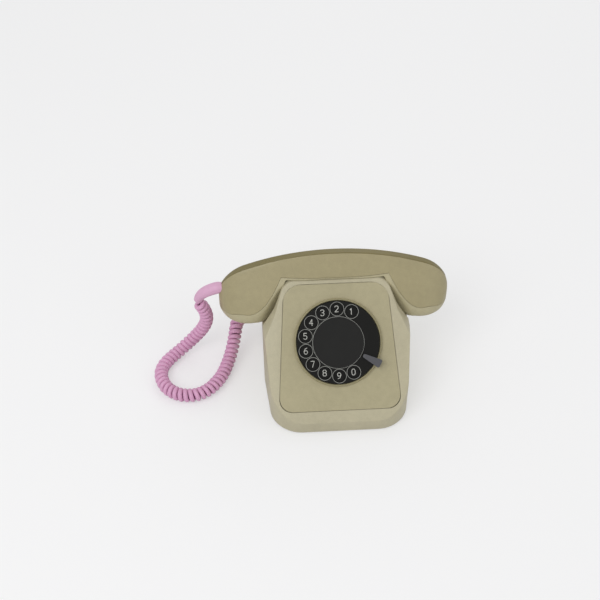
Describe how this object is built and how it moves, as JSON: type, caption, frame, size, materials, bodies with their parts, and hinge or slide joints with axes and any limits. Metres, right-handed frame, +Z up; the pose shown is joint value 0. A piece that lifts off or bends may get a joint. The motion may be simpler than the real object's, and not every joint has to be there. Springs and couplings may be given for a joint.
{
  "type": "rotary telephone",
  "caption": "Compact rotary desk telephone with a sloping face, a finger dial, a handset across its cradle and a curly handset cord.",
  "frame": {"origin": "on the table, at the middle of the telephone's footprint", "axes": "+Z up, -Y towards the user and the dial, +X along the handset towards its receiver end"},
  "size_m": [0.2856, 0.163, 0.1305],
  "materials": {
    "housing_plastic": "smooth satin gloss, pale beige",
    "face_plastic": "smooth satin gloss, beige",
    "handset_plastic": "smooth satin gloss, darker beige",
    "olive_plastic": "satin, dark olive",
    "dial_plastic": "glossy black",
    "cap_plastic": "satin dark grey",
    "digit_ink": "matt pale grey print",
    "stop_metal": "satin grey",
    "dark_rubber": "matt",
    "pink_rubber": "smooth satin, pink",
    "board": "brown laminate",
    "coil_winding": "lacquered winding",
    "capacitor_can": "satin",
    "brass": "plain",
    "aluminium": "plain",
    "steel": "zinc plated"
  },
  "bodies": {
    "body": {"housing": "housing_plastic", "face_panel": "face_plastic", "base_plate": "steel", "rubber_feet": "dark_rubber", "base_screws": "steel", "cord_gland": "dark_rubber", "line_cord_inlet": "dark_rubber", "dial_bezel": "face_plastic", "number_plate": "dial_plastic", "dial_digits": "digit_ink", "finger_stop": "stop_metal", "dial_frame": "steel", "dial_screws": "steel", "pulse_contacts": "brass", "dial_return_spring": "steel", "governor_cup": "steel", "hook_bracket": "steel", "hook_pivot_pin": "steel", "hook_spring": "steel", "hook_contacts": "board", "ringer_frame": "steel", "ringer_coil": "coil_winding", "ringer_gongs": "brass", "gong_screws": "steel", "network_board": "board", "induction_coil": "steel", "capacitor": "capacitor_can", "terminal_block": "board", "handset_cord": "pink_rubber"},
    "dial_rotor": {"finger_wheel": "dial_plastic", "dial_centre_cap": "cap_plastic", "dial_shaft": "steel", "wheel_screw": "steel", "dial_main_gear": "brass", "pulse_wheel": "brass"},
    "governor_rotor": {"governor": "brass"},
    "plunger_left": {"cradle_plunger_left": "cap_plastic"},
    "plunger_right": {"cradle_plunger_right": "cap_plastic"},
    "lever": {"hook_lever": "steel"},
    "clapper": {"ringer_clapper": "steel"},
    "handset": {"handset_upper_shell": "handset_plastic", "handset_lower_shell": "housing_plastic", "handset_trim_strip": "olive_plastic", "receiver_capsule": "aluminium", "transmitter_capsule": "brass", "handset_screws": "steel", "handset_cord_boot": "pink_rubber"}
  },
  "joints": [
    {"name": "dial_spin", "type": "hinge", "parent": "body", "child": "dial_rotor", "pos_m": [0, -0.02875, 0.06675], "axis": [0, -0.7071, 0.7071], "range_deg": [-324, 0], "stiffness_Nm_per_rad": 0.004, "springref_deg": 57.3},
    {"name": "governor_spin", "type": "hinge", "parent": "body", "child": "governor_rotor", "pos_m": [-0.0225, -0.02875, 0.06675], "axis": [0, -0.7071, 0.7071], "range_deg": [0, 1300]},
    {"name": "handset_lift", "type": "slide", "parent": "body", "child": "handset", "axis": [0, 0, 1], "range_m": [0, 0.06]},
    {"name": "left_plunger_rise", "type": "slide", "parent": "body", "child": "plunger_left", "axis": [0, 0, 1], "range_m": [0, 0.006]},
    {"name": "right_plunger_rise", "type": "slide", "parent": "body", "child": "plunger_right", "axis": [0, 0, 1], "range_m": [0, 0.006]},
    {"name": "hook_rock", "type": "hinge", "parent": "body", "child": "lever", "pos_m": [0, 0.0474, 0.089], "axis": [-1, 0, 0], "range_deg": [0, 15.2], "deforming": ["hook_spring"]},
    {"name": "clapper_swing", "type": "hinge", "parent": "body", "child": "clapper", "pos_m": [0, 0.024, 0.03], "axis": [0, 0, 1], "range_deg": [-3.5, 3.5], "stiffness_Nm_per_rad": 0.002}
  ],
  "couplings": [
    {"joint": "governor_spin", "follows": "dial_spin", "ratio": -4},
    {"joint": "left_plunger_rise", "follows": "handset_lift", "ratio": 0.1},
    {"joint": "right_plunger_rise", "follows": "handset_lift", "ratio": 0.1},
    {"joint": "hook_rock", "follows": "handset_lift", "rad_per_m": 4.4}
  ]
}
